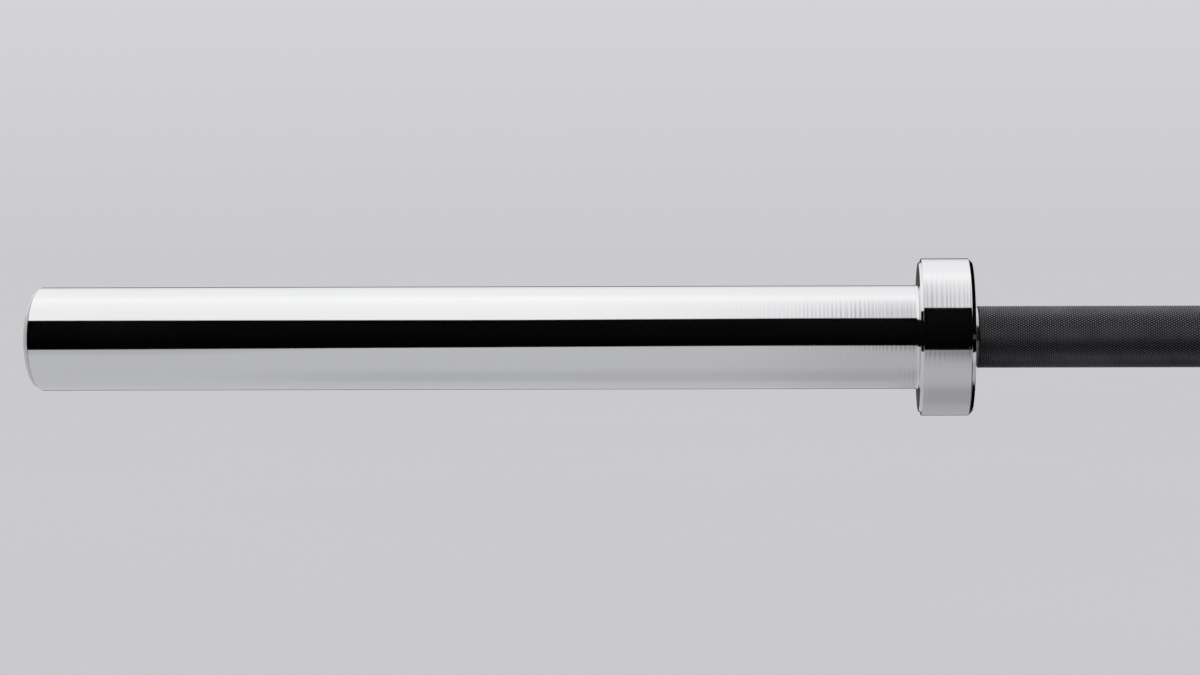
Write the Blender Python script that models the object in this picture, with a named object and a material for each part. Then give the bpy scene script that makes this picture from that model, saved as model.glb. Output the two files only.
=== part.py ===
"""Olympic barbell: a one-piece knurled shaft with a rotating sleeve assembly at each end.

Metres, +Z up. The bar lies along X and its origin is the middle of the shaft.
Both ends are built in the same local frame, where x is the distance outward from
the middle of the bar, and the left end is that frame turned half round about Z.
"""

import math

import bmesh
import bpy
from mathutils import Matrix

# Shaft
SHAFT_DIA = 0.029
COLLAR_SPACING = 1.310  # between the inner faces of the two collars
KNURL_HEIGHT = 0.00045  # crests above the plain shaft
KNURL_FADE = 0.0003  # length over which a knurl rises to its full height
KNURL_START = 0.0026  # from the collar's inner face to the outer knurl
OUTER_KNURL_LENGTH = 0.442
CENTRE_KNURL_LENGTH = 0.120
MARK_SPACING = 0.810  # between the two smooth grip rings
MARK_WIDTH = 0.005
SHOULDER_INSET = 0.0011  # from the collar's inner face back to the shoulder's flat
SHOULDER_CHAMFER = 0.0004
JOURNAL_DIA = 0.025
JOURNAL_EDGE = 0.0008
GROOVE_DEPTH = 0.0009
SHAFT_END_LAND = 0.0026  # shaft left outboard of the retaining ring's groove

# Sleeve tube
SLEEVE_DIA = 0.050
SLEEVE_BORE = 0.031
LOADABLE_LENGTH = 0.425  # from the collar's plate face to the sleeve's rim
SLEEVE_EDGE = 0.0003
CAP_POCKET_DIA = 0.0426
CAP_POCKET_DEPTH = 0.018

# Collar
COLLAR_DIA = 0.076
COLLAR_WIDTH = 0.026
COLLAR_CHAMFER = 0.0019
COLLAR_WEB = 0.005
SEAL_POCKET_DIA = 0.041
LIP_LENGTH = 0.0013
LIP_ROOT_DIA = 0.0735
LIP_FACE_DIA = 0.0718

# Bearings and thrust pieces
BUSHING_LENGTH = 0.045
BUSHING_FLANGE_DIA = 0.035
BUSHING_FLANGE = 0.0032
BUSHING_EDGE = 0.0005
INNER_WASHER = 0.0015
INNER_WASHER_DIA = 0.035
OUTER_WASHER = 0.0020
OUTER_WASHER_DIA = 0.038
WASHER_EDGE = 0.0002

# Retaining ring
RING_THICKNESS = 0.0015
RING_WIDTH = 0.0029  # radial, opposite the gap
RING_ECCENTRICITY = 0.00045
RING_GAP = 0.0032
LUG_DIA = 0.0046
LUG_HOLE_DIA = 0.0020
LUG_SPACING = 0.0078  # between the two plier holes

# End cap and seals
CAP_DIA = 0.0468
CAP_FLANGE = 0.0018
CAP_EDGE = 0.0003
CAP_PLUG = 0.009
CAP_WALL = 0.0040
CAP_FLOOR = 0.0030
CAP_DISH_DIA = 0.038
CAP_DISH_DEPTH = 0.0005
O_RING_SECTION = 0.0024
SEAL_RECESS = 0.0002
SEAL_EDGE = 0.0008

# Fits and mesh
FIT = 0.0003  # left between pieces that touch or turn on each other
OUTER_SEGMENTS = 48
INNER_SEGMENTS = 32
LUG_SEGMENTS = 16
LUG_HOLE_SEGMENTS = 12
O_RING_SIDES = 8
MERGE_DISTANCE = 1e-6
SHARP_ANGLE = math.radians(25)

# Radii
SHAFT_R = SHAFT_DIA / 2
JOURNAL_R = JOURNAL_DIA / 2
SLEEVE_R = SLEEVE_DIA / 2
BORE_R = SLEEVE_BORE / 2
COLLAR_R = COLLAR_DIA / 2
SEAL_POCKET_R = SEAL_POCKET_DIA / 2
CAP_POCKET_R = CAP_POCKET_DIA / 2
BUSHING_BORE_R = JOURNAL_R + FIT
BUSHING_R = BORE_R - FIT

# Places along the bar, outward from its middle
COLLAR_X = COLLAR_SPACING / 2
PLATE_FACE_X = COLLAR_X + COLLAR_WIDTH
SLEEVE_RIM_X = PLATE_FACE_X + LOADABLE_LENGTH
SHOULDER_X = COLLAR_X - SHOULDER_INSET
INNER_WASHER_X = SHOULDER_X + FIT
BUSHING_FLANGE_X = INNER_WASHER_X + INNER_WASHER + FIT
SEAL_POCKET_FLOOR_X = BUSHING_FLANGE_X + BUSHING_FLANGE + FIT
TUBE_X = SEAL_POCKET_FLOOR_X + COLLAR_WEB + FIT
CAP_POCKET_FLOOR_X = SLEEVE_RIM_X - CAP_POCKET_DEPTH
OUTER_WASHER_X = CAP_POCKET_FLOOR_X + FIT
RING_X = OUTER_WASHER_X + OUTER_WASHER + FIT
GROOVE_START_X = RING_X - FIT
GROOVE_END_X = RING_X + RING_THICKNESS + FIT
SHAFT_END_X = GROOVE_END_X + SHAFT_END_LAND
CAP_X = SLEEVE_RIM_X + FIT

# Base colour, metallic and roughness of each finish
FINISHES = {
    "polished_chrome": ((0.80, 0.81, 0.84), 1.0, 0.06),
    "bare_steel": ((0.30, 0.30, 0.32), 1.0, 0.34),
    "bronze": ((0.66, 0.41, 0.19), 1.0, 0.38),
    "zinc_plate": ((0.62, 0.63, 0.66), 1.0, 0.30),
    "spring_steel": ((0.07, 0.07, 0.075), 1.0, 0.42),
    "satin_aluminium": ((0.66, 0.68, 0.69), 1.0, 0.48),
    "nitrile": ((0.018, 0.018, 0.018), 0.0, 0.62),
}


def clear_scene():
    for obj in list(bpy.data.objects):
        bpy.data.objects.remove(obj)


def make_material(name, finish):
    colour, metallic, roughness = FINISHES[finish]
    material = bpy.data.materials.new(f"{name}_{finish}")
    material.use_nodes = True
    shader = material.node_tree.nodes["Principled BSDF"]
    shader.inputs["Base Color"].default_value = (*colour, 1.0)
    shader.inputs["Metallic"].default_value = metallic
    shader.inputs["Roughness"].default_value = roughness
    material.diffuse_color = (*colour, 1.0)
    return material


def finished_mesh(bm, name):
    bmesh.ops.recalc_face_normals(bm, faces=bm.faces)
    mesh = bpy.data.meshes.new(name)
    bm.to_mesh(mesh)
    bm.free()
    mesh.shade_smooth()
    mesh.set_sharp_from_angle(angle=SHARP_ANGLE)
    return mesh


def turned(name, outline, segments):
    """A solid of revolution about X. outline is a list of (x, radius).

    An outline that starts and ends on the axis is a solid piece, and any other is
    joined up into a ring.
    """
    bm = bmesh.new()
    verts = [bm.verts.new((x, 0.0, radius)) for x, radius in outline]
    edges = [bm.edges.new(pair) for pair in zip(verts, verts[1:])]
    is_ring = outline[0][1] > 0.0
    if is_ring:
        edges.append(bm.edges.new((verts[-1], verts[0])))
    bmesh.ops.spin(
        bm,
        geom=verts + edges,
        cent=(0.0, 0.0, 0.0),
        axis=(1.0, 0.0, 0.0),
        angle=math.tau,
        steps=segments,
        use_merge=True,
    )
    bmesh.ops.remove_doubles(bm, verts=bm.verts, dist=MERGE_DISTANCE)
    return finished_mesh(bm, name)


def chamfered_ring(name, length, inner_r, outer_r, chamfer, segments):
    """A plain ring with all four of its edges broken by the same chamfer."""
    outline = [
        (0.0, inner_r + chamfer),
        (0.0, outer_r - chamfer),
        (chamfer, outer_r),
        (length - chamfer, outer_r),
        (length, outer_r - chamfer),
        (length, inner_r + chamfer),
        (length - chamfer, inner_r),
        (chamfer, inner_r),
    ]
    return turned(name, outline, segments)


def knurl_band(start, end):
    """Outline points of a raised knurl between two places on the shaft."""
    crest_r = SHAFT_R + KNURL_HEIGHT
    return [
        (start, SHAFT_R),
        (start + KNURL_FADE, crest_r),
        (end - KNURL_FADE, crest_r),
        (end, SHAFT_R),
    ]


def shaft_mesh():
    outer_knurl_end = COLLAR_X - KNURL_START
    outer_knurl_start = outer_knurl_end - OUTER_KNURL_LENGTH
    mark_x = MARK_SPACING / 2
    half = knurl_band(-CENTRE_KNURL_LENGTH / 2, CENTRE_KNURL_LENGTH / 2)[2:]
    half += knurl_band(outer_knurl_start, mark_x - MARK_WIDTH / 2)
    half += knurl_band(mark_x + MARK_WIDTH / 2, outer_knurl_end)
    half += [
        (SHOULDER_X - SHOULDER_CHAMFER, SHAFT_R),
        (SHOULDER_X, SHAFT_R - SHOULDER_CHAMFER),
        (SHOULDER_X, JOURNAL_R),
        (GROOVE_START_X, JOURNAL_R),
        (GROOVE_START_X, JOURNAL_R - GROOVE_DEPTH),
        (GROOVE_END_X, JOURNAL_R - GROOVE_DEPTH),
        (GROOVE_END_X, JOURNAL_R),
        (SHAFT_END_X - JOURNAL_EDGE, JOURNAL_R),
        (SHAFT_END_X, JOURNAL_R - JOURNAL_EDGE),
        (SHAFT_END_X, 0.0),
    ]
    other_half = [(-x, radius) for x, radius in reversed(half)]
    return turned("shaft", other_half + half, OUTER_SEGMENTS)


def sleeve_tube_mesh():
    length = SLEEVE_RIM_X - TUBE_X
    pocket = length - CAP_POCKET_DEPTH
    outline = [
        (0.0, BORE_R),
        (0.0, SLEEVE_R - SLEEVE_EDGE),
        (SLEEVE_EDGE, SLEEVE_R),
        (length - SLEEVE_EDGE, SLEEVE_R),
        (length, SLEEVE_R - SLEEVE_EDGE),
        (length, CAP_POCKET_R),
        (pocket, CAP_POCKET_R),
        (pocket, BORE_R),
    ]
    return turned("sleeve_tube", outline, OUTER_SEGMENTS)


def collar_mesh():
    """The collar covers the tube's inner end with a web, and its pocket holds the dust seal."""
    pocket_depth = SEAL_POCKET_FLOOR_X - COLLAR_X
    socket_x = pocket_depth + COLLAR_WEB
    lip_x = COLLAR_WIDTH - LIP_LENGTH
    outline = [
        (0.0, SEAL_POCKET_R),
        (0.0, COLLAR_R - COLLAR_CHAMFER),
        (COLLAR_CHAMFER, COLLAR_R),
        (lip_x, COLLAR_R),
        (lip_x, LIP_ROOT_DIA / 2),
        (COLLAR_WIDTH, LIP_FACE_DIA / 2),
        (COLLAR_WIDTH, SLEEVE_R + FIT),
        (socket_x, SLEEVE_R + FIT),
        (socket_x, BORE_R),
        (pocket_depth, BORE_R),
        (pocket_depth, SEAL_POCKET_R),
    ]
    return turned("collar", outline, OUTER_SEGMENTS)


def inner_bushing_mesh():
    flange_r = BUSHING_FLANGE_DIA / 2
    length = BUSHING_FLANGE + BUSHING_LENGTH
    outline = [
        (0.0, BUSHING_BORE_R + BUSHING_EDGE),
        (0.0, flange_r - BUSHING_EDGE),
        (BUSHING_EDGE, flange_r),
        (BUSHING_FLANGE, flange_r),
        (BUSHING_FLANGE, BUSHING_R),
        (length - BUSHING_EDGE, BUSHING_R),
        (length, BUSHING_R - BUSHING_EDGE),
        (length, BUSHING_BORE_R),
        (BUSHING_EDGE, BUSHING_BORE_R),
    ]
    return turned("inner_bushing", outline, INNER_SEGMENTS)


def end_cap_mesh():
    """A flanged cup. x is 0 at the flange's back, which faces the sleeve's rim."""
    cap_r = CAP_DIA / 2
    plug_r = CAP_POCKET_R - FIT
    groove_width = O_RING_SECTION + 2 * FIT
    groove_r = plug_r - O_RING_SECTION - FIT
    groove_start = -(CAP_PLUG + groove_width) / 2
    dish_r = CAP_DISH_DIA / 2
    outline = [
        (CAP_FLANGE - CAP_DISH_DEPTH - CAP_FLOOR, 0.0),
        (CAP_FLANGE - CAP_DISH_DEPTH - CAP_FLOOR, plug_r - CAP_WALL),
        (-CAP_PLUG, plug_r - CAP_WALL),
        (-CAP_PLUG, plug_r - CAP_EDGE),
        (-CAP_PLUG + CAP_EDGE, plug_r),
        (groove_start, plug_r),
        (groove_start, groove_r),
        (groove_start + groove_width, groove_r),
        (groove_start + groove_width, plug_r),
        (0.0, plug_r),
        (0.0, cap_r),
        (CAP_FLANGE - CAP_EDGE, cap_r),
        (CAP_FLANGE, cap_r - CAP_EDGE),
        (CAP_FLANGE, dish_r),
        (CAP_FLANGE - CAP_DISH_DEPTH, dish_r - CAP_DISH_DEPTH),
        (CAP_FLANGE - CAP_DISH_DEPTH, 0.0),
    ]
    return turned("end_cap", outline, OUTER_SEGMENTS)


def o_ring_mesh():
    section_r = O_RING_SECTION / 2
    ring_r = CAP_POCKET_R - FIT - section_r
    outline = []
    for side in range(O_RING_SIDES):
        angle = math.tau * side / O_RING_SIDES
        outline.append((section_r * math.cos(angle), ring_r + section_r * math.sin(angle)))
    return turned("cap_o_ring", outline, INNER_SEGMENTS)


def dust_seal_mesh():
    length = SEAL_POCKET_FLOOR_X - FIT - COLLAR_X - SEAL_RECESS
    seal_r = SEAL_POCKET_R - FIT
    lip_r = max(BUSHING_FLANGE_DIA, INNER_WASHER_DIA) / 2 + FIT
    outline = [
        (0.0, lip_r),
        (0.0, seal_r - SEAL_EDGE),
        (SEAL_EDGE, seal_r),
        (length, seal_r),
        (length, lip_r),
    ]
    return turned("dust_seal", outline, INNER_SEGMENTS)


def disc(bm, thickness, radius, y, z, segments):
    """Adds a cylinder along X that starts at x = 0."""
    points = []
    for step in range(segments):
        angle = math.tau * step / segments
        points.append((0.0, y + radius * math.sin(angle), z + radius * math.cos(angle)))
    base = bm.faces.new([bm.verts.new(point) for point in points])
    top = bmesh.ops.extrude_face_region(bm, geom=[base])["geom"]
    top_verts = [item for item in top if isinstance(item, bmesh.types.BMVert)]
    bmesh.ops.translate(bm, vec=(thickness, 0.0, 0.0), verts=top_verts)


def helper_object(name, bm):
    """A hidden cutter or guide."""
    obj = bpy.data.objects.new(name, finished_mesh(bm, name))
    bpy.context.scene.collection.objects.link(obj)
    obj.hide_render = True
    obj.display_type = "WIRE"
    return obj


def apply_boolean(target, operation, tool):
    modifier = target.modifiers.new(operation.lower(), "BOOLEAN")
    modifier.operation = operation
    modifier.solver = "EXACT"
    modifier.object = tool
    evaluated = target.evaluated_get(bpy.context.evaluated_depsgraph_get())
    target.data = bpy.data.meshes.new_from_object(evaluated)
    target.modifiers.clear()
    bpy.data.objects.remove(tool)


def retaining_ring_mesh():
    """An external retaining ring: an eccentric ring with a gap and two lugs with plier holes."""
    inner_r = JOURNAL_R - GROOVE_DEPTH + FIT
    outer_r = inner_r + RING_WIDTH - RING_ECCENTRICITY
    past_face = RING_THICKNESS  # how far a cutter runs past each face of the ring
    cutter_length = RING_THICKNESS + 2 * past_face
    lug_z = math.sqrt((outer_r - RING_ECCENTRICITY) ** 2 - (LUG_SPACING / 2) ** 2)

    blank = bmesh.new()
    disc(blank, RING_THICKNESS, outer_r, 0.0, -RING_ECCENTRICITY, INNER_SEGMENTS)
    ring = helper_object("retaining_ring", blank)

    lugs = bmesh.new()
    for side in (-1, 1):
        disc(lugs, RING_THICKNESS, LUG_DIA / 2, side * LUG_SPACING / 2, lug_z, LUG_SEGMENTS)
    apply_boolean(ring, "UNION", helper_object("lugs", lugs))

    bore = bmesh.new()
    disc(bore, cutter_length, inner_r, 0.0, 0.0, INNER_SEGMENTS)
    bmesh.ops.translate(bore, vec=(-past_face, 0.0, 0.0), verts=bore.verts)
    apply_boolean(ring, "DIFFERENCE", helper_object("bore_cutter", bore))

    gap_and_holes = bmesh.new()
    for side in (-1, 1):
        hole_y = side * LUG_SPACING / 2
        disc(gap_and_holes, cutter_length, LUG_HOLE_DIA / 2, hole_y, lug_z, LUG_HOLE_SEGMENTS)
    bmesh.ops.translate(gap_and_holes, vec=(-past_face, 0.0, 0.0), verts=gap_and_holes.verts)
    gap_middle = Matrix.Translation((RING_THICKNESS / 2, 0.0, outer_r))
    gap_size = Matrix.Diagonal((cutter_length, RING_GAP, outer_r, 1.0))
    bmesh.ops.create_cube(gap_and_holes, size=1.0, matrix=gap_middle @ gap_size)
    apply_boolean(ring, "DIFFERENCE", helper_object("gap_cutter", gap_and_holes))

    mesh = ring.data
    bpy.data.objects.remove(ring)
    return mesh


def end_frame(side_name, turn):
    """The empty that carries one end's pieces. It stands on the sleeve's spin axis."""
    frame = bpy.data.objects.new(f"{side_name}_spin_axis", None)
    frame.rotation_euler.z = turn
    bpy.context.scene.collection.objects.link(frame)
    return frame


def place(name, mesh, finish, parent=None, x=0.0):
    obj = bpy.data.objects.new(name, mesh.copy())
    obj.location.x = x
    obj.parent = parent
    obj.data.materials.append(make_material(name, finish))
    bpy.context.scene.collection.objects.link(obj)
    return obj


def build():
    clear_scene()
    place("shaft", shaft_mesh(), "bare_steel")

    outer_bushing = chamfered_ring(
        "outer_bushing", BUSHING_LENGTH, BUSHING_BORE_R, BUSHING_R, BUSHING_EDGE, INNER_SEGMENTS
    )
    inner_washer = chamfered_ring(
        "inner_washer", INNER_WASHER, JOURNAL_R + FIT, INNER_WASHER_DIA / 2, WASHER_EDGE, INNER_SEGMENTS
    )
    outer_washer = chamfered_ring(
        "outer_washer", OUTER_WASHER, JOURNAL_R + FIT, OUTER_WASHER_DIA / 2, WASHER_EDGE, INNER_SEGMENTS
    )
    pieces = [
        ("sleeve_tube", sleeve_tube_mesh(), "polished_chrome", TUBE_X),
        ("collar", collar_mesh(), "polished_chrome", COLLAR_X),
        ("inner_bushing", inner_bushing_mesh(), "bronze", BUSHING_FLANGE_X),
        ("outer_bushing", outer_bushing, "bronze", CAP_POCKET_FLOOR_X - BUSHING_LENGTH),
        ("inner_thrust_washer", inner_washer, "zinc_plate", INNER_WASHER_X),
        ("outer_thrust_washer", outer_washer, "zinc_plate", OUTER_WASHER_X),
        ("retaining_ring", retaining_ring_mesh(), "spring_steel", RING_X),
        ("end_cap", end_cap_mesh(), "satin_aluminium", CAP_X),
        ("cap_o_ring", o_ring_mesh(), "nitrile", CAP_X - CAP_PLUG / 2),
        ("dust_seal", dust_seal_mesh(), "nitrile", COLLAR_X + SEAL_RECESS),
    ]
    for side_name, turn in (("right", 0.0), ("left", math.pi)):
        frame = end_frame(side_name, turn)
        for name, mesh, finish, x in pieces:
            place(f"{side_name}_{name}", mesh, finish, frame, x)


build()
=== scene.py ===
"""Olympic barbell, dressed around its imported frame.

Metres, with X along the bar. Every piece is turned or cut on the CAD's own sizes. Outlines are
lists of (x, radius, rounding) with x outward from the middle of the bar, for the right end, and
the left end is the same turned half round about Z.
"""

import cmath
import math

import bmesh
import bpy
import numpy as np
from mathutils import Matrix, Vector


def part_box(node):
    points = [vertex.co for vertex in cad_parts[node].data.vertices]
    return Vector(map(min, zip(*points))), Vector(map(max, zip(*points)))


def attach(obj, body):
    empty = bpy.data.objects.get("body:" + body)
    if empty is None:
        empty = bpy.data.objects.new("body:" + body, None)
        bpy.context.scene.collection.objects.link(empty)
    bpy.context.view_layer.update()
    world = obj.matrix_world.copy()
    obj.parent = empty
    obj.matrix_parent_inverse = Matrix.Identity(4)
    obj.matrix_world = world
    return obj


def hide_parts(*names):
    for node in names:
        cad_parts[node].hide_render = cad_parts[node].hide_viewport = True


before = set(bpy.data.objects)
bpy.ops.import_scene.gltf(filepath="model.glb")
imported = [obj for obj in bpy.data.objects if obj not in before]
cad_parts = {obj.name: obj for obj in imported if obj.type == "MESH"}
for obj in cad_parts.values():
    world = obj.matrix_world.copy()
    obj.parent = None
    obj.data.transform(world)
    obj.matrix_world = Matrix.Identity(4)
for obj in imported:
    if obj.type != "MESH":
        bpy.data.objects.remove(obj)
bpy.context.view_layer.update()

# Fineness of the turned pieces
OUTER_SEGMENTS = 256
INNER_SEGMENTS = 128
ARC_STEPS = 6
SHARP_ANGLE = math.radians(25)

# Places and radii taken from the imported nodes, at the right end
shaft_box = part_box("shaft")
tube_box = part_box("right_sleeve_tube")
collar_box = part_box("right_collar")
cap_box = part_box("right_end_cap")
seal_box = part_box("right_dust_seal")
bushing_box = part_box("right_inner_bushing")
outer_bushing_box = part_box("right_outer_bushing")
inner_washer_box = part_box("right_inner_thrust_washer")
outer_washer_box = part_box("right_outer_thrust_washer")
o_ring_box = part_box("right_cap_o_ring")

SHAFT_R = 0.0145
CREST_R = shaft_box[1].z
JOURNAL_R = 0.0125
SHAFT_END_X = shaft_box[1].x
TUBE_X = tube_box[0].x
RIM_X = tube_box[1].x
SLEEVE_R = tube_box[1].z
BORE_R = 0.0155
POCKET_R = 0.0213
POCKET_DEPTH = 0.018
COLLAR_X = collar_box[0].x
PLATE_X = collar_box[1].x
COLLAR_R = collar_box[1].z
FIT = 0.0003

# Sleeve details
SLEEVE_EDGE = 0.0003
SLEEVE_ROUNDING = 0.0002

# Collar details
COLLAR_CHAMFER = 0.0019
LIP_LENGTH = 0.0013
LIP_ROOT_R = 0.03675
LIP_FACE_R = 0.0359
ROOT_FILLET = 0.0013
SEAL_POCKET_R = 0.0205
SEAL_POCKET_DEPTH = 0.0045
COLLAR_WEB = 0.005
CHAMFER_ROUNDING = 0.0005
FILLET_STEP = 0.00008
FILLET_REACH = 0.0004
SEAM_CLEARANCE = 0.00001

# End cap details
CAP_WALL = 0.004
CAP_PLUG_EDGE = 0.0003
CAP_GROOVE_DEPTH = 0.0027
CAP_GROOVE_WIDTH = 0.003
CAP_GROOVE_SETBACK = 0.0060
CAP_DISH_R = 0.019
CAP_DISH_DEPTH = 0.0005
CAP_DISH_SLOPE = 0.0006
CAP_FLOOR = 0.003

# Bushings, washers and seals
BUSHING_FLANGE = 0.0032
BUSHING_EDGE = 0.0005
WASHER_EDGE = 0.0002
O_RING_SIDES = 20
SEAL_LIP_R = 0.0178
SEAL_GROOVE_DEPTH = 0.0004
SEAL_GROOVE_HALF = 0.0004
SEAL_GROOVE_FLOOR_HALF = 0.0001

# Shaft details
SHOULDER_X = COLLAR_X - 0.0011
SHOULDER_CHAMFER = 0.0004
GROOVE_X = (1.0903, 1.0924)
GROOVE_R = JOURNAL_R - 0.0009
JOURNAL_EDGE = 0.0008

# Knurl
KNURL_STARTS = 72
KNURL_PITCH = 0.00214
VALLEY_R = 0.01463
KNURL_TOP = 0.20
KNURL_FADE = 0.0003
KNURL_END_X = COLLAR_X - 0.0026
OUTER_KNURL_X = KNURL_END_X - 0.442
CENTRE_KNURL_X = 0.060
MARK_X = (0.4025, 0.4075)
KNURL_SHARP_ANGLE = math.radians(60)

# Chrome: its colours with a painted shade toward the collar, the polishing rings' pitch, and where
# in x the rings and that shade are gone and are full
CHROME = (0.80, 0.803, 0.815)
CHROME_HAZY = (0.785, 0.788, 0.80)
CHROME_SHADED_NEAR_COLLAR = (0.785, 0.775, 0.792)
CHROME_MARKED = (0.62, 0.57, 0.63)
POLISH_PITCH = 0.0020
POLISH_WANDER = 0.004
POLISH_FADED_X = 0.845
POLISH_FULL_X = 0.700

# Depth of the marks that turning leaves on steel
TURNING_DEPTH = 0.00001

# The range that most of a noise lies in
NOISE_LOW = 0.3
NOISE_HIGH = 0.7

# A colour Mix node's sockets
MIX_FIRST = 6
MIX_SECOND = 7
MIX_RESULT = 2


def rounded(outline):
    """Turns each rounded corner into an arc, with short runs beside it that keep flats flat."""
    points = []
    count = len(outline)
    for index, (x, radius, rounding) in enumerate(outline):
        corner = complex(x, radius)
        if rounding == 0.0:
            points.append((x, radius))
            continue
        before = complex(*outline[index - 1][:2])
        after = complex(*outline[(index + 1) % count][:2])
        arrive = (corner - before) / abs(corner - before)
        leave = (after - corner) / abs(after - corner)
        turn = cmath.phase(leave / arrive)
        reach = rounding * math.tan(abs(turn) / 2)
        start = corner - reach * arrive
        centre = start + arrive * complex(0.0, math.copysign(rounding, turn))
        support = 0.25 * rounding
        run = [start - support * arrive]
        for step in range(ARC_STEPS + 1):
            run.append(centre + (start - centre) * cmath.exp(1j * turn * step / ARC_STEPS))
        run.append(corner + (reach + support) * leave)
        points += [(point.real, point.imag) for point in run]
    return points


def link(name, mesh):
    obj = bpy.data.objects.new(name, mesh)
    bpy.context.scene.collection.objects.link(obj)
    return obj


def turned_mesh(name, outline, segments):
    """A solid of revolution about X: a ring, unless its outline starts and ends on the axis."""
    points = rounded(outline)
    is_solid = points[0][1] == 0.0
    rings = points[1:-1] if is_solid else points
    angles = np.arange(segments) * (math.tau / segments)
    places = np.array(rings)
    verts = np.empty((len(rings), segments, 3))
    verts[:, :, 0] = places[:, :1]
    verts[:, :, 1] = places[:, 1:] * np.sin(angles)
    verts[:, :, 2] = places[:, 1:] * np.cos(angles)
    verts = verts.reshape(-1, 3).tolist()
    pairs = [(ring, ring + 1) for ring in range(len(rings) - 1)]
    if not is_solid:
        pairs.append((len(rings) - 1, 0))
    faces = []
    for ring_a, ring_b in pairs:
        for here in range(segments):
            there = (here + 1) % segments
            faces.append(
                (
                    ring_a * segments + here,
                    ring_a * segments + there,
                    ring_b * segments + there,
                    ring_b * segments + here,
                )
            )
    if is_solid:
        for ring, point in ((0, points[0]), (len(rings) - 1, points[-1])):
            pole = len(verts)
            verts.append((point[0], 0.0, 0.0))
            for here in range(segments):
                there = (here + 1) % segments
                corners = (ring * segments + here, ring * segments + there, pole)
                faces.append(corners if ring else corners[::-1])
    mesh = bpy.data.meshes.new(name)
    mesh.from_pydata(verts, [], faces)
    bm = bmesh.new()
    bm.from_mesh(mesh)
    bmesh.ops.recalc_face_normals(bm, faces=bm.faces)
    bm.to_mesh(mesh)
    bm.free()
    mesh.shade_smooth()
    mesh.set_sharp_from_angle(angle=SHARP_ANGLE)
    return mesh


def on_both_ends(node, label, mesh, body, material):
    """Places the mesh at the right end, and turned half round at the left, for its CAD nodes."""
    for side, turn in (("right", 0.0), ("left", math.pi)):
        placed = mesh.copy()
        placed.transform(Matrix.Rotation(turn, 4, "Z"))
        piece = link(f"{side}_{label}", placed)
        placed.materials.append(material)
        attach(piece, body.format(side=side))
        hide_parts(f"{side}_{node}")


def knurled_mesh(name, start, end):
    """A solid length of shaft, cut into diamonds by two crossing sets of helical grooves."""
    repeats = round((end - start) / KNURL_PITCH)
    half = (end - start) / (2 * repeats)
    rows = 2 * repeats
    step = math.tau / KNURL_STARTS
    slots = np.arange(KNURL_STARTS)

    def ring(x, angles, radius):
        points = np.empty((len(angles), 3))
        points[:, 0] = x
        points[:, 1] = radius * np.sin(angles)
        points[:, 2] = radius * np.cos(angles)
        return points

    blocks = []
    for row in range(rows + 1):
        radius = SHAFT_R if row in (0, rows) else VALLEY_R
        blocks.append(ring(start + row * half, (slots + (row % 2) / 2) * step, radius))
    top_start = (rows + 1) * KNURL_STARTS
    for row in range(1, rows):
        x = start + row * half
        middle = (slots + ((row + 1) % 2) / 2) * step
        across = KNURL_TOP * step / 2
        along = KNURL_TOP * half
        blocks.append(ring(x - along, middle, CREST_R))
        blocks.append(ring(x, middle - across, CREST_R))
        blocks.append(ring(x + along, middle, CREST_R))
        blocks.append(ring(x, middle + across, CREST_R))
    end_start = top_start + 4 * (rows - 1) * KNURL_STARTS
    middle = (slots + 0.5) * step
    across = KNURL_TOP * step
    for x, inward in ((start, 1), (end, -1)):
        crest_x = x + inward * KNURL_FADE
        blocks.append(ring(x, middle, SHAFT_R))
        blocks.append(ring(crest_x, middle - across, CREST_R))
        blocks.append(ring(crest_x, middle + across, CREST_R))
        blocks.append(ring(crest_x + inward * KNURL_FADE, middle, CREST_R))
    verts = np.concatenate(blocks)

    faces = []
    nxt = (slots + 1) % KNURL_STARTS
    prv = (slots - 1) % KNURL_STARTS
    for row in range(1, rows):
        own = row * KNURL_STARTS
        left = own - KNURL_STARTS + slots
        right = own + KNURL_STARTS + slots
        low = own + (slots if row % 2 == 0 else prv)
        high = own + (nxt if row % 2 == 0 else slots)
        tops = top_start + 4 * (row - 1) * KNURL_STARTS + slots
        t_left, t_low, t_right, t_high = (tops + k * KNURL_STARTS for k in range(4))
        for quad in (
            (left, low, t_low, t_left),
            (low, right, t_right, t_low),
            (right, high, t_high, t_right),
            (high, left, t_left, t_high),
            (t_left, t_low, t_right, t_high),
        ):
            faces += np.stack(quad, axis=1).tolist()
    for row, tip_row, block in ((0, 1, 0), (rows, rows - 1, 4)):
        low = row * KNURL_STARTS + slots
        high = row * KNURL_STARTS + nxt
        tip = tip_row * KNURL_STARTS + slots
        base = end_start + block * KNURL_STARTS + slots
        mid, p_low, p_high, p_tip = (base + k * KNURL_STARTS for k in range(4))
        corners = [
            (low, tip, p_tip, p_low),
            (tip, high, p_high, p_tip),
            (high, mid, p_high),
            (mid, p_low, p_high),
            (mid, low, p_low),
            (p_low, p_tip, p_high),
        ]
        cap = np.stack((low, mid), axis=1).reshape(-1).tolist()
        if row:
            corners = [corner[::-1] for corner in corners]
            cap = cap[::-1]
        for corner in corners:
            faces += np.stack(corner, axis=1).tolist()
        faces.append(cap)
    mesh = bpy.data.meshes.new(name)
    mesh.from_pydata(verts.tolist(), [], faces)
    mesh.shade_smooth()
    mesh.set_sharp_from_angle(angle=KNURL_SHARP_ANGLE)
    return mesh


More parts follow.
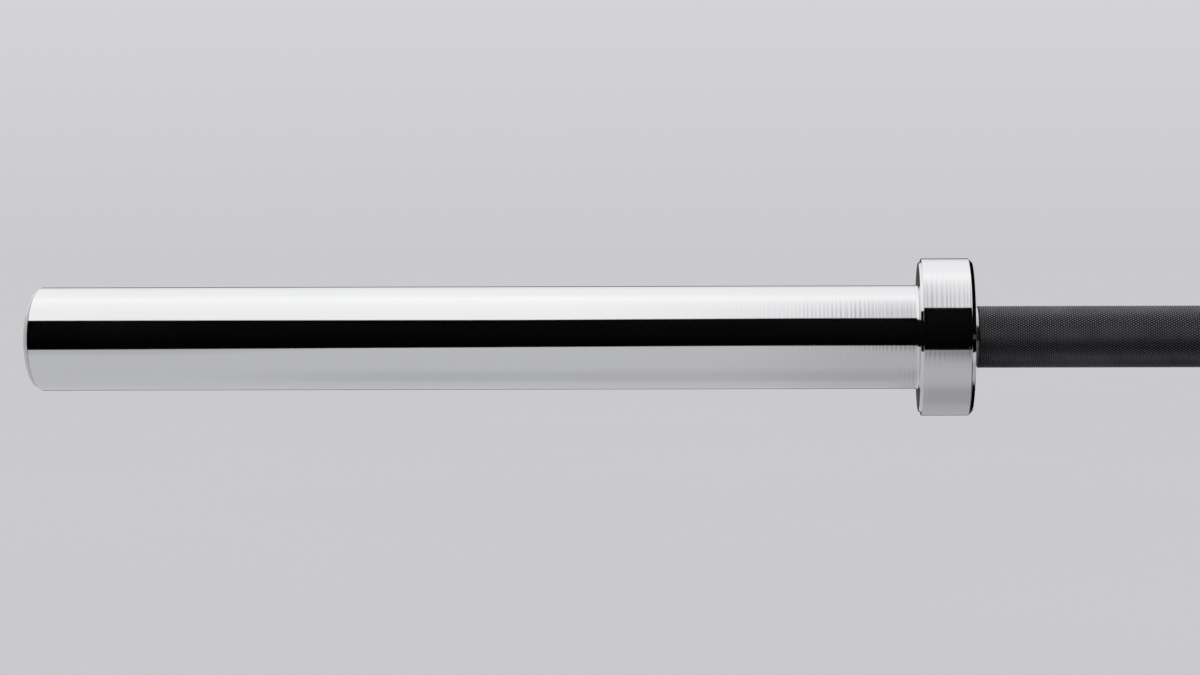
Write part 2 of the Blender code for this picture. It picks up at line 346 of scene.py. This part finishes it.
class Tree:
    """The nodes of a material or a world, with the place they are read at split into x, y and z."""

    def __init__(self, owner, coordinates):
        owner.use_nodes = True
        self.nodes = owner.node_tree.nodes
        self.links = owner.node_tree.links
        where = self.nodes.new("ShaderNodeTexCoord")
        self.place = where.outputs[coordinates]
        split = self.nodes.new("ShaderNodeSeparateXYZ")
        self.links.new(self.place, split.inputs[0])
        self.x, self.y, self.z = split.outputs

    def put(self, value, socket):
        """Sets a socket to a plain value, or links another socket to it."""
        if isinstance(value, bpy.types.NodeSocket):
            self.links.new(value, socket)
        else:
            socket.default_value = value

    def math(self, operation, first, second=0.0):
        node = self.nodes.new("ShaderNodeMath")
        node.operation = operation
        self.put(first, node.inputs[0])
        self.put(second, node.inputs[1])
        return node.outputs[0]

    def mix(self, factor, first, second, way="MIX"):
        """Mixes two colours, each a plain (red, green, blue) or a socket."""
        node = self.nodes.new("ShaderNodeMix")
        node.data_type = "RGBA"
        node.blend_type = way
        self.put(factor, node.inputs["Factor"])
        for value, socket in ((first, node.inputs[MIX_FIRST]), (second, node.inputs[MIX_SECOND])):
            self.put((*value, 1.0) if isinstance(value, tuple) else value, socket)
        return node.outputs[MIX_RESULT]


class Paint(Tree):
    """A material's nodes, built up around its Principled shader."""

    def __init__(self, name, colour, metallic, roughness):
        self.material = bpy.data.materials.new(name)
        self.material.diffuse_color = (*colour, 1.0)
        super().__init__(self.material, "Object")
        self.shader = self.nodes["Principled BSDF"]
        self.shader.inputs["Base Color"].default_value = (*colour, 1.0)
        self.shader.inputs["Metallic"].default_value = metallic
        self.shader.inputs["Roughness"].default_value = roughness

    def span(self, value, low, high, to_low=0.0, to_high=1.0, smooth=False):
        """Maps low to high onto to_low to to_high."""
        node = self.nodes.new("ShaderNodeMapRange")
        if smooth:
            node.interpolation_type = "SMOOTHSTEP"
        for socket, number in zip(node.inputs, (value, low, high, to_low, to_high)):
            self.put(number, socket)
        return node.outputs[0]

    def spread(self, noise, to_low=0.0, to_high=1.0):
        """Maps the range that most of a noise lies in onto to_low to to_high."""
        return self.span(noise, NOISE_LOW, NOISE_HIGH, to_low, to_high)

    def lines(self, value, scale, detail=2.0):
        """Noise that changes along one value only."""
        node = self.nodes.new("ShaderNodeTexNoise")
        node.noise_dimensions = "1D"
        self.put(value, node.inputs["W"])
        node.inputs["Scale"].default_value = scale
        node.inputs["Detail"].default_value = detail
        return node.outputs[0]

    def noise(self, scale, detail=3.0, stretch=(1.0, 1.0, 1.0), roughness=0.5):
        mapping = self.nodes.new("ShaderNodeMapping")
        self.links.new(self.place, mapping.inputs["Vector"])
        mapping.inputs["Scale"].default_value = stretch
        node = self.nodes.new("ShaderNodeTexNoise")
        self.links.new(mapping.outputs[0], node.inputs["Vector"])
        node.inputs["Scale"].default_value = scale
        node.inputs["Detail"].default_value = detail
        node.inputs["Roughness"].default_value = roughness
        return node.outputs[0]

    def colour(self, value):
        self.links.new(value, self.shader.inputs["Base Color"])

    def roughness(self, value):
        self.links.new(value, self.shader.inputs["Roughness"])

    def bump(self, height, distance, strength=1.0):
        node = self.nodes.new("ShaderNodeBump")
        node.inputs["Strength"].default_value = strength
        node.inputs["Distance"].default_value = distance
        self.links.new(height, node.inputs["Height"])
        self.links.new(node.outputs[0], self.shader.inputs["Normal"])

    def radius(self):
        """The distance from the bar's axis."""
        across = self.math("POWER", self.y, 2.0)
        up = self.math("POWER", self.z, 2.0)
        return self.math("SQRT", self.math("ADD", across, up))


def chrome_material():
    """Polished hard chrome. The last polishing pass leaves fine rings, clearest near the collar.
    Toward the collar the colour is also darkened, a painted shade.
    """
    paint = Paint("sleeve_chrome_polished", CHROME, 1.0, 0.05)
    out = paint.math("ABSOLUTE", paint.x)
    wander = paint.math("MULTIPLY", paint.lines(out, 60.0), POLISH_WANDER)
    ring_phase = paint.math("MULTIPLY", paint.math("ADD", out, wander), math.tau / POLISH_PITCH)
    rings = paint.span(paint.math("SINE", ring_phase), -1.0, 1.0)
    uneven = paint.lines(out, 900.0, 3.0)
    near = paint.span(out, POLISH_FADED_X, POLISH_FULL_X, smooth=True)
    marks = paint.math("MULTIPLY", paint.math("MULTIPLY", rings, uneven), near)
    haze = paint.noise(9.0, 4.0, stretch=(1.0, 0.35, 0.35), roughness=0.6)
    clean = paint.mix(paint.span(haze, 0.35, 0.75), CHROME, CHROME_HAZY)
    # Painted shade: the chrome is darker and a little pink toward the collar
    shaded_near_collar = paint.mix(near, clean, CHROME_SHADED_NEAR_COLLAR)
    paint.colour(paint.mix(paint.math("MULTIPLY", marks, 0.12), shaded_near_collar, CHROME_MARKED))
    fine = paint.lines(out, 4200.0, 2.0)
    rough = paint.spread(fine, 0.035, 0.055)
    rough = paint.math("ADD", rough, paint.math("MULTIPLY", marks, 0.04))
    rough = paint.math("ADD", rough, paint.span(haze, 0.5, 0.8, 0.0, 0.02))
    paint.roughness(rough)
    paint.bump(marks, 0.000014)
    return paint.material


def knurl_material():
    paint = Paint("shaft_steel_knurled", (0.16, 0.16, 0.17), 1.0, 0.34)
    # Lighter toward the burnished crests and darker down in the grooves, which is dirt there and
    # painted shade
    height = paint.span(paint.radius(), VALLEY_R, CREST_R)
    patches = paint.noise(55.0, 4.0, roughness=0.6)
    groove_dirt_and_shade = paint.mix(paint.spread(patches), (0.05, 0.05, 0.055), (0.08, 0.08, 0.085))
    paint.colour(paint.mix(paint.span(height, 0.55, 1.0), groove_dirt_and_shade, (0.32, 0.32, 0.335)))
    paint.roughness(paint.spread(patches, 0.42, 0.32))
    paint.bump(paint.noise(5200.0, 3.0), 0.00002, 0.5)
    return paint.material


def turned_steel_material():
    paint = Paint("shaft_steel_turned", (0.26, 0.26, 0.27), 1.0, 0.30)
    rings = paint.lines(paint.x, 5200.0, 3.0)
    patches = paint.noise(40.0, 4.0, roughness=0.6)
    base = paint.mix(paint.spread(patches), (0.20, 0.20, 0.21), (0.27, 0.27, 0.28))
    paint.colour(paint.mix(paint.span(rings, 0.35, 0.75), base, (0.34, 0.335, 0.345)))
    paint.roughness(paint.spread(patches, 0.24, 0.34))
    paint.bump(rings, TURNING_DEPTH, 0.6)
    return paint.material


def machined_steel_material():
    """The bright cut faces at the shaft's ends."""
    paint = Paint("shaft_steel_machined", (0.62, 0.60, 0.61), 1.0, 0.16)
    rings = paint.lines(paint.math("ADD", paint.x, paint.radius()), 4000.0, 3.0)
    paint.colour(paint.mix(paint.spread(rings), (0.55, 0.53, 0.54), (0.68, 0.66, 0.67)))
    paint.roughness(paint.spread(rings, 0.12, 0.20))
    paint.bump(rings, TURNING_DEPTH, 0.6)
    return paint.material


def aluminium_material():
    """Satin metal with fine turned rings that show on the cap's face and side."""
    paint = Paint("cap_aluminium_satin", (0.72, 0.735, 0.745), 0.25, 0.46)
    rings = paint.lines(paint.math("ADD", paint.radius(), paint.x), 5200.0, 3.0)
    colour = paint.mix(paint.spread(rings), (0.68, 0.695, 0.705), (0.76, 0.772, 0.782))
    paint.colour(colour)
    paint.roughness(paint.spread(paint.noise(300.0, 4.0), 0.40, 0.52))
    paint.bump(rings, 0.00002, 0.5)
    return paint.material


def bronze_material():
    """Sintered bronze: a fine speckle of pores that hold oil."""
    paint = Paint("bushing_bronze_sintered", (0.66, 0.41, 0.19), 1.0, 0.38)
    grain = paint.noise(3400.0, 3.0, roughness=0.7)
    stain = paint.noise(70.0, 4.0)
    base = paint.mix(paint.spread(stain), (0.60, 0.36, 0.16), (0.72, 0.47, 0.23))
    paint.colour(paint.mix(paint.span(grain, 0.60, 0.72), base, (0.20, 0.11, 0.05)))
    paint.roughness(paint.spread(grain, 0.30, 0.48))
    paint.bump(grain, 0.00004, 0.5)
    return paint.material


def zinc_material():
    paint = Paint("washer_steel_zinc", (0.62, 0.63, 0.66), 1.0, 0.30)
    rings = paint.lines(paint.radius(), 3600.0, 3.0)
    spangle = paint.noise(420.0, 3.0)
    base = paint.mix(paint.spread(spangle), (0.52, 0.54, 0.58), (0.66, 0.67, 0.69))
    paint.colour(paint.mix(paint.span(rings, 0.4, 0.8), base, (0.45, 0.46, 0.49)))
    paint.roughness(paint.spread(spangle, 0.24, 0.38))
    paint.bump(rings, TURNING_DEPTH, 0.5)
    return paint.material


def spring_steel_material():
    paint = Paint("spring_steel_blackened", (0.07, 0.07, 0.075), 1.0, 0.42)
    scale = paint.noise(900.0, 4.0, roughness=0.65)
    colour = paint.mix(paint.span(scale, 0.35, 0.7), (0.05, 0.05, 0.056), (0.11, 0.108, 0.112))
    paint.colour(colour)
    paint.roughness(paint.spread(scale, 0.34, 0.50))
    paint.bump(scale, 0.00003, 0.4)
    return paint.material


def nitrile_material():
    paint = Paint("seal_nitrile_matt", (0.018, 0.018, 0.018), 0.0, 0.62)
    dust = paint.noise(260.0, 4.0, roughness=0.65)
    colour = paint.mix(paint.span(dust, 0.45, 0.8), (0.016, 0.016, 0.016), (0.034, 0.033, 0.032))
    paint.colour(colour)
    paint.roughness(paint.spread(dust, 0.55, 0.72))
    paint.bump(paint.noise(2600.0, 3.0), 0.00004, 0.4)
    return paint.material


def sleeve_outline():
    edge_r = SLEEVE_R - SLEEVE_EDGE
    return [
        (TUBE_X, BORE_R, 0.0),
        (TUBE_X, edge_r, 0.0),
        (TUBE_X + SLEEVE_EDGE, SLEEVE_R, 0.0),
        (RIM_X - SLEEVE_EDGE, SLEEVE_R, SLEEVE_ROUNDING),
        (RIM_X, edge_r, SLEEVE_ROUNDING),
        (RIM_X, POCKET_R, SLEEVE_ROUNDING),
        (RIM_X - POCKET_DEPTH, POCKET_R, 0.0),
        (RIM_X - POCKET_DEPTH, BORE_R, 0.0),
    ]


def collar_outline():
    """The fillet at the sleeve's root closes the seam between the collar and the tube."""
    lip_x = PLATE_X - LIP_LENGTH
    seam_r = SLEEVE_R + SEAM_CLEARANCE
    foot_r = seam_r + FILLET_STEP
    foot_x = PLATE_X + ROOT_FILLET + FILLET_REACH
    pocket_x = COLLAR_X + SEAL_POCKET_DEPTH
    socket_x = pocket_x + COLLAR_WEB
    return [
        (COLLAR_X, SEAL_POCKET_R, 0.0003),
        (COLLAR_X, COLLAR_R - COLLAR_CHAMFER, CHAMFER_ROUNDING),
        (COLLAR_X + COLLAR_CHAMFER, COLLAR_R, CHAMFER_ROUNDING),
        (lip_x, COLLAR_R, 0.0002),
        (lip_x, LIP_ROOT_R, 0.00012),
        (PLATE_X, LIP_FACE_R, 0.0003),
        (PLATE_X, foot_r, ROOT_FILLET),
        (foot_x, foot_r, 0.0),
        (foot_x + FILLET_STEP, seam_r, 0.0),
        (PLATE_X, seam_r, 0.0),
        (PLATE_X, SLEEVE_R + FIT, 0.0),
        (socket_x, SLEEVE_R + FIT, 0.0),
        (socket_x, BORE_R, 0.0),
        (pocket_x, BORE_R, 0.0),
        (pocket_x, SEAL_POCKET_R, 0.0),
    ]


def cap_outline():
    back = RIM_X + FIT
    face = cap_box[1].x
    cap_r = cap_box[1].z
    plug_r = POCKET_R - FIT
    plug_x = cap_box[0].x
    wall_r = plug_r - CAP_WALL
    groove_r = plug_r - CAP_GROOVE_DEPTH
    groove_x = back - CAP_GROOVE_SETBACK
    groove_end_x = groove_x + CAP_GROOVE_WIDTH
    dish_x = face - CAP_DISH_DEPTH
    floor_x = dish_x - CAP_FLOOR
    return [
        (floor_x, 0.0, 0.0),
        (floor_x, wall_r, 0.0005),
        (plug_x, wall_r, 0.0002),
        (plug_x, plug_r - CAP_PLUG_EDGE, 0.0),
        (plug_x + CAP_PLUG_EDGE, plug_r, 0.0),
        (groove_x, plug_r, 0.0001),
        (groove_x, groove_r, 0.0002),
        (groove_end_x, groove_r, 0.0002),
        (groove_end_x, plug_r, 0.0001),
        (back, plug_r, 0.0),
        (back, cap_r, 0.00015),
        (face, cap_r, 0.0004),
        (face, CAP_DISH_R, 0.0003),
        (dish_x, CAP_DISH_R - CAP_DISH_SLOPE, 0.0006),
        (dish_x, 0.0, 0.0),
    ]


def inner_bushing_outline():
    start = bushing_box[0].x
    end = bushing_box[1].x
    flange_r = bushing_box[1].z
    bore_r = JOURNAL_R + FIT
    wall_r = BORE_R - FIT
    flange_x = start + BUSHING_FLANGE
    return [
        (start, bore_r, BUSHING_EDGE),
        (start, flange_r, BUSHING_EDGE),
        (flange_x, flange_r, 0.0003),
        (flange_x, wall_r, 0.0002),
        (end, wall_r, BUSHING_EDGE),
        (end, bore_r, BUSHING_EDGE),
    ]


def journal_ring_outline(box, edge):
    """A plain ring that fits the journal."""
    start = box[0].x
    end = box[1].x
    bore_r = JOURNAL_R + FIT
    outer_r = box[1].z
    corners = [(start, bore_r), (start, outer_r), (end, outer_r), (end, bore_r)]
    return [(x, radius, edge) for x, radius in corners]


def o_ring_outline():
    start = o_ring_box[0].x
    end = o_ring_box[1].x
    section_r = (end - start) / 2
    ring_r = o_ring_box[1].z - section_r
    outline = []
    for side in range(O_RING_SIDES):
        angle = math.tau * side / O_RING_SIDES
        x = (start + end) / 2 + section_r * math.cos(angle)
        outline.append((x, ring_r + section_r * math.sin(angle), 0.0))
    return outline


def dust_seal_outline():
    """Moulded seal with a shallow groove round its face and a softly rounded wiping lip."""
    start = seal_box[0].x
    end = seal_box[1].x
    outer_r = seal_box[1].z
    groove_r = (SEAL_LIP_R + outer_r) / 2
    groove_x = start + SEAL_GROOVE_DEPTH
    return [
        (start, SEAL_LIP_R, 0.0004),
        (start, groove_r - SEAL_GROOVE_HALF, 0.0001),
        (groove_x, groove_r - SEAL_GROOVE_FLOOR_HALF, 0.0001),
        (groove_x, groove_r + SEAL_GROOVE_FLOOR_HALF, 0.0001),
        (start, groove_r + SEAL_GROOVE_HALF, 0.0001),
        (start, outer_r, 0.0005),
        (end, outer_r, 0.0),
        (end, SEAL_LIP_R, 0.0),
    ]


def shaft_end_outline():
    return [
        (KNURL_END_X, 0.0, 0.0),
        (KNURL_END_X, SHAFT_R, 0.0),
        (SHOULDER_X - SHOULDER_CHAMFER, SHAFT_R, 0.00015),
        (SHOULDER_X, SHAFT_R - SHOULDER_CHAMFER, 0.00015),
        (SHOULDER_X, JOURNAL_R, 0.0002),
        (GROOVE_X[0], JOURNAL_R, 0.0001),
        (GROOVE_X[0], GROOVE_R, 0.0),
        (GROOVE_X[1], GROOVE_R, 0.0),
        (GROOVE_X[1], JOURNAL_R, 0.0001),
        (SHAFT_END_X - JOURNAL_EDGE, JOURNAL_R, 0.0003),
        (SHAFT_END_X, JOURNAL_R - JOURNAL_EDGE, 0.0003),
        (SHAFT_END_X, 0.0, 0.0),
    ]


def plain_outline(start, end):
    return [(start, 0.0, 0.0), (start, SHAFT_R, 0.0), (end, SHAFT_R, 0.0), (end, 0.0, 0.0)]


def build_sleeves():
    chrome = (chrome_material(), "sleeve_chrome")
    zinc = (zinc_material(), "washer_steel")
    bronze = (bronze_material(), "bushing_bronze")
    nitrile = (nitrile_material(), "seal_nitrile")
    aluminium = (aluminium_material(), "cap_aluminium")
    outer_bushing = journal_ring_outline(outer_bushing_box, BUSHING_EDGE)
    inner_washer = journal_ring_outline(inner_washer_box, WASHER_EDGE)
    outer_washer = journal_ring_outline(outer_washer_box, WASHER_EDGE)
    sleeve = "{side}_sleeve"
    pieces = [
        ("sleeve_tube", sleeve_outline(), OUTER_SEGMENTS, sleeve, chrome),
        ("collar", collar_outline(), OUTER_SEGMENTS, sleeve, chrome),
        ("end_cap", cap_outline(), OUTER_SEGMENTS, sleeve, aluminium),
        ("dust_seal", dust_seal_outline(), OUTER_SEGMENTS, sleeve, nitrile),
        ("cap_o_ring", o_ring_outline(), INNER_SEGMENTS, sleeve, nitrile),
        ("inner_bushing", inner_bushing_outline(), INNER_SEGMENTS, sleeve, bronze),
        ("outer_bushing", outer_bushing, INNER_SEGMENTS, sleeve, bronze),
        ("inner_thrust_washer", inner_washer, INNER_SEGMENTS, "shaft", zinc),
        ("outer_thrust_washer", outer_washer, INNER_SEGMENTS, "shaft", zinc),
    ]
    for node, outline, segments, body, (material, slot) in pieces:
        label = f"{node}_turned"
        on_both_ends(node, label, turned_mesh(label, outline, segments), body, material)


def build_shaft():
    knurl = knurl_material()
    turned = turned_steel_material()
    machined = machined_steel_material()

    def add(name, mesh, material):
        mesh.materials.append(material)
        piece = link(name, mesh)
        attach(piece, "shaft")
        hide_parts("shaft")

    def turned_section(name, outline):
        return turned_mesh(name, outline, OUTER_SEGMENTS)

    add("centre_knurl", knurled_mesh("centre_knurl", -CENTRE_KNURL_X, CENTRE_KNURL_X), knurl)
    grip = plain_outline(CENTRE_KNURL_X, OUTER_KNURL_X)
    for side, turn in (("right", 0.0), ("left", math.pi)):
        half_turn = Matrix.Rotation(turn, 4, "Z")
        sections = [
            ("plain_grip", turned_section("plain_grip", grip), turned),
            ("inner_knurl", knurled_mesh("inner_knurl", OUTER_KNURL_X, MARK_X[0]), knurl),
            ("grip_mark", turned_section("grip_mark", plain_outline(*MARK_X)), turned),
            ("outer_knurl", knurled_mesh("outer_knurl", MARK_X[1], KNURL_END_X), knurl),
            ("shaft_end", turned_section("shaft_end", shaft_end_outline()), machined),
        ]
        for name, mesh, material in sections:
            mesh.transform(half_turn)
            add(f"{side}_{name}", mesh, material)


def dress_retaining_rings():
    material = spring_steel_material()
    for side in ("left", "right"):
        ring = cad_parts[f"{side}_retaining_ring"]
        for slot in ring.material_slots:
            slot.material = material


# Studio: the floor and the cards round the bar
FLOOR_Z = -0.45
FLOOR_HALF = 300.0
FLOOR_DARKER = (0.605, 0.607, 0.622)
FLOOR_LIGHTER = (0.615, 0.617, 0.632)
SCREEN_BLACK = 0.001
SCREEN_GREY = 0.10
SCREEN_COLUMNS = 66
SCREEN_FRONT = 1.06
SCREEN_BACK = 1.30
SCREEN_HALF = 1.65

# The front card's lower and upper edge: (distance from the middle, height)
FRONT_LOW = [(0.80, -0.32), (1.43, -0.429)]
FRONT_HIGH = [(0.74, 1.038), (1.05, 0.955), (1.43, 0.987)]

# Cards along the left end and the back: (y or x, lower edge, upper edge)
LEFT_END = [(1.30, -0.45, 0.42), (0.0, -0.18, 0.36), (-0.51, -0.30, 0.66)]
BACK_LEFT = [(-1.65, -0.45, 0.42), (-0.42, -0.45, 0.42)]
BACK_RIGHT = [(-0.42, -0.45, 0.42), (-0.25, -0.45, 0.62), (-0.05, -0.45, 1.20), (1.65, -0.45, 1.60)]

# A low card at the right end, and a tall one further out: (y, lower edge, upper edge)
RIGHT_END = [(-1.05, -0.45, 0.30), (1.29, -0.45, 0.30)]
FAR_RIGHT_X = 8.0
FAR_RIGHT = [(-3.98, -0.45, 3.71), (5.20, -0.45, 6.08)]

# Small grey cards just under the shaft, beside each collar: from and to in x, and the points in
# (y, z) that they run through
LOW_CARD_GREY = 0.07
LOW_CARD_X = (0.641, 0.6525)
LOW_CARD_PATH = [(-0.110, -0.020), (-0.070, -0.050), (0.0, -0.060), (0.060, -0.045)]

# The mat's height and front edge, and its zones: darkness, distance from the middle where a zone
# begins and is full, and the places in y where it begins, is full, starts to fade and ends. The
# third and sixth zones are painted shade
MAT_Z = -0.44
MAT_FRONT = -1.6
MAT_ZONES = [
    (1.0, (0.605, 0.53), (-0.62, -0.45, 0.02, 0.12)),
    (1.0, (0.40, 0.30), (0.28, 0.38, 1.20, 1.28)),
    # Painted shadow of the bar: a strip on the floor right under it
    (0.10, (1.15, 1.00), (-0.20, -0.01, 0.06, 0.26)),
    (0.12, (0.80, 0.68), (-1.6, -1.5, 1.10, 1.25)),
    (0.40, (0.70, 0.60), (-1.6, -1.5, -1.15, -0.35)),
    # Painted shade on the floor under and behind the shaft
    (0.11, (0.675, 0.655), (-0.24, -0.08, 1.10, 1.25)),
    (0.12, (1.15, 1.30), (-1.6, -1.5, -0.85, -0.50)),
]

# Blue is the level to this power, so that the dome is a little cool where it is dim
COOLNESS = 0.95

# The dome's levels by the turn about the bar, from the front horizon at 0 over the top to the back
# one at 1
DOME_BY_TURN = [
    (0.0, 0.588),
    (0.10, 0.75),
    (0.25, 1.05),
    (0.40, 1.07),
    (0.50, 1.13),
    (0.556, 1.17),
    (0.62, 1.085),
    (0.69, 1.05),
    (0.78, 1.02),
    (0.87, 0.84),
    (1.0, 0.588),
]

# Its levels by height, and the share that these take as the direction turns along the bar
DOME_BY_HEIGHT = [(0.0, 0.588), (0.25, 0.74), (0.5, 0.92), (0.71, 1.05), (1.0, 1.12)]
TOWARD_ENDS = [(0.45, 0.0), (0.85, 1.0)]

# Its dimming by the direction's x plus 0.5, and the share of that which holds at each turn about
# the bar
DOME_ASIDE = [
    (0.40, 1.0),
    (0.457, 0.96),
    (0.494, 0.895),
    (0.511, 0.83),
    (0.519, 0.77),
    (0.527, 0.57),
    (0.5335, 0.45),
    (0.5405, 0.48),
    (0.5445, 0.77),
    (0.58, 0.84),
    (1.0, 0.80),
]
IN_FRONT = [
    (0.20, 0.0),
    (0.23, 1.0),
    (0.33, 0.95),
    (0.41, 0.64),
    (0.46, 0.50),
    (0.51, 0.22),
    (0.57, 0.0),
]

# Camera, fitted to the photograph: place, turns in degrees, sensor and lens in mm, and shift
CAMERA_PLACE = (-0.73127, -1.18054, 0.03509)
CAMERA_YAW = 0.5465
CAMERA_PITCH = -1.7058
CAMERA_ROLL = -0.1509
CAMERA_SENSOR = 36.0
CAMERA_LENS = 73.12
CAMERA_SHIFT = -0.1590
CAMERA_FAR = 1000.0


def matt_paint(name, colour, roughness):
    """Paint with no gloss at all."""
    paint = Paint(name, colour, 0.0, roughness)
    paint.shader.inputs["Specular IOR Level"].default_value = 0.0
    return paint


def build_floor():
    bm = bmesh.new()
    bmesh.ops.create_grid(bm, x_segments=1, y_segments=1, size=FLOOR_HALF)
    bmesh.ops.translate(bm, vec=(0.0, 0.0, FLOOR_Z), verts=bm.verts)
    mesh = bpy.data.meshes.new("floor")
    bm.to_mesh(mesh)
    bm.free()
    paint = matt_paint("floor_pale", FLOOR_DARKER, 0.9)
    paint.colour(paint.mix(paint.noise(0.8, 3.0), FLOOR_DARKER, FLOOR_LIGHTER))
    mesh.materials.append(paint.material)
    link("floor", mesh)


def level_at(place, stops):
    """Straight-line value between listed (place, value) stops."""
    return float(np.interp(place, [stop[0] for stop in stops], [stop[1] for stop in stops]))


def wall(points):
    """Corners and faces of a wall through points of (x, y, lower edge, upper edge)."""
    verts = []
    faces = []
    for index, (x, y, low, high) in enumerate(points):
        verts += [(x, y, low), (x, y, high)]
        if index:
            last = len(verts)
            faces.append((last - 4, last - 2, last - 1, last - 3))
    return verts, faces


def card_paint(name, level):
    paint = matt_paint(name, (level,) * 3, 1.0)
    low = (0.8 * level,) * 3
    high = (1.2 * level,) * 3
    paint.colour(paint.mix(paint.noise(4.0), low, high))
    return paint


def card(name, paint, verts, faces):
    """A card that only the metal's reflections show, and that takes no light off the floor."""
    mesh = bpy.data.meshes.new(name)
    mesh.from_pydata(verts, [], faces)
    mesh.materials.append(paint.material)
    obj = link(name, mesh)
    obj.visible_camera = False
    obj.visible_diffuse = False
    obj.visible_shadow = False


def build_screens():
    """Black cards round the bar, and grey ones behind the left sleeve and under the shaft."""
    black = [(-SCREEN_HALF, y, low, high) for y, low, high in LEFT_END]
    for index in range(SCREEN_COLUMNS + 1):
        x = SCREEN_HALF * (2 * index / SCREEN_COLUMNS - 1)
        out = abs(x)
        black.append((x, -SCREEN_FRONT, level_at(out, FRONT_LOW), level_at(out, FRONT_HIGH)))
    black += [(SCREEN_HALF, y, low, high) for y, low, high in RIGHT_END]
    black += [(x, SCREEN_BACK, low, high) for x, low, high in reversed(BACK_RIGHT)]
    far_right = [(FAR_RIGHT_X, y, low, high) for y, low, high in FAR_RIGHT]
    screen_black = card_paint("screen_black", SCREEN_BLACK)
    card("black_screens", screen_black, *wall(black))
    card("far_right_screen", screen_black, *wall(far_right))
    grey = [(x, SCREEN_BACK, low, high) for x, low, high in BACK_LEFT]
    card("grey_screen", card_paint("screen_grey", SCREEN_GREY), *wall(grey))
    for side, sign in (("left", -1.0), ("right", 1.0)):
        corners = [(sign * x, y, z) for y, z in LOW_CARD_PATH for x in LOW_CARD_X]
        faces = [(at, at + 1, at + 3, at + 2) for at in range(0, len(corners) - 2, 2)]
        grey_paint = card_paint(f"{side}_low_grey", LOW_CARD_GREY)
        card(f"{side}_low_card", grey_paint, corners, faces)


def build_mat():
    """A black mat over the floor with soft edges, so thin in places that it only tones it down. Two
    of its zones are painted shade on the floor under the bar.
    """
    paint = card_paint("mat_black", SCREEN_BLACK)
    out = paint.math("ABSOLUTE", paint.x)
    cover = 0.0
    for darkness, (begins, full), (y_begins, y_full, y_fades, y_ends) in MAT_ZONES:
        near = paint.span(paint.y, y_begins, y_full, smooth=True)
        far = paint.span(paint.y, y_ends, y_fades, 0.0, darkness, smooth=True)
        side = paint.span(out, begins, full, smooth=True)
        zone = paint.math("MULTIPLY", paint.math("MULTIPLY", near, far), side)
        cover = paint.math("ADD", zone, cover)
    paint.put(cover, paint.shader.inputs["Alpha"])
    corners = [
        (-SCREEN_HALF, MAT_FRONT, MAT_Z),
        (SCREEN_HALF, MAT_FRONT, MAT_Z),
        (SCREEN_HALF, SCREEN_BACK, MAT_Z),
        (-SCREEN_HALF, SCREEN_BACK, MAT_Z),
    ]
    card("black_mat", paint, corners, [(0, 1, 2, 3)])


class Sky(Tree):
    """The nodes of the studio's dome."""

    def ramp(self, value, stops):
        node = self.nodes.new("ShaderNodeValToRGB")
        elements = node.color_ramp.elements
        while len(elements) < len(stops):
            elements.new(0.5)
        for element, (place, level) in zip(elements, stops):
            element.position = place
            element.color = (level, level, level**COOLNESS, 1.0)
        self.links.new(value, node.inputs["Fac"])
        return node.outputs["Color"]


def build_world():
    """A soft dome: pale at the horizon, white overhead, and brightest in a strip along the bar."""
    world = bpy.data.worlds.new("studio_dome")
    bpy.context.scene.world = world
    sky = Sky(world, "Generated")
    forward = sky.math("MULTIPLY", sky.y, -1.0)
    turn = sky.math("DIVIDE", sky.math("ARCTAN2", sky.z, forward), math.pi)
    along_bar = sky.ramp(turn, DOME_BY_TURN)
    by_height = sky.ramp(sky.z, DOME_BY_HEIGHT)
    toward_ends = sky.ramp(sky.math("ABSOLUTE", sky.x), TOWARD_ENDS)
    dome = sky.mix(toward_ends, along_bar, by_height)
    aside = sky.ramp(sky.math("ADD", sky.x, 0.5), DOME_ASIDE)
    dimming = sky.mix(sky.ramp(turn, IN_FRONT), (1.0, 1.0, 1.0), aside)
    dimmed = sky.mix(1.0, dome, dimming, "MULTIPLY")
    sky.put(dimmed, sky.nodes["Background"].inputs["Color"])


def build_camera():
    """The camera of the photograph: just above the bar's axis, 1.18 m in front of it."""
    data = bpy.data.cameras.new("camera")
    data.sensor_width = CAMERA_SENSOR
    data.lens = CAMERA_LENS
    data.shift_x = CAMERA_SHIFT
    data.clip_end = CAMERA_FAR
    camera = bpy.data.objects.new("camera", data)
    bpy.context.scene.collection.objects.link(camera)
    yaw = Matrix.Rotation(math.radians(CAMERA_YAW), 4, "Z")
    pitch = Matrix.Rotation(math.pi / 2 + math.radians(CAMERA_PITCH), 4, "X")
    roll = Matrix.Rotation(math.radians(CAMERA_ROLL), 4, "Z")
    camera.matrix_world = Matrix.Translation(CAMERA_PLACE) @ (yaw @ pitch @ roll)
    bpy.context.scene.camera = camera


build_camera()
build_world()
build_floor()
build_screens()
build_mat()
build_sleeves()
build_shaft()
dress_retaining_rings()

bpy.context.scene.view_settings.view_transform = "Standard"
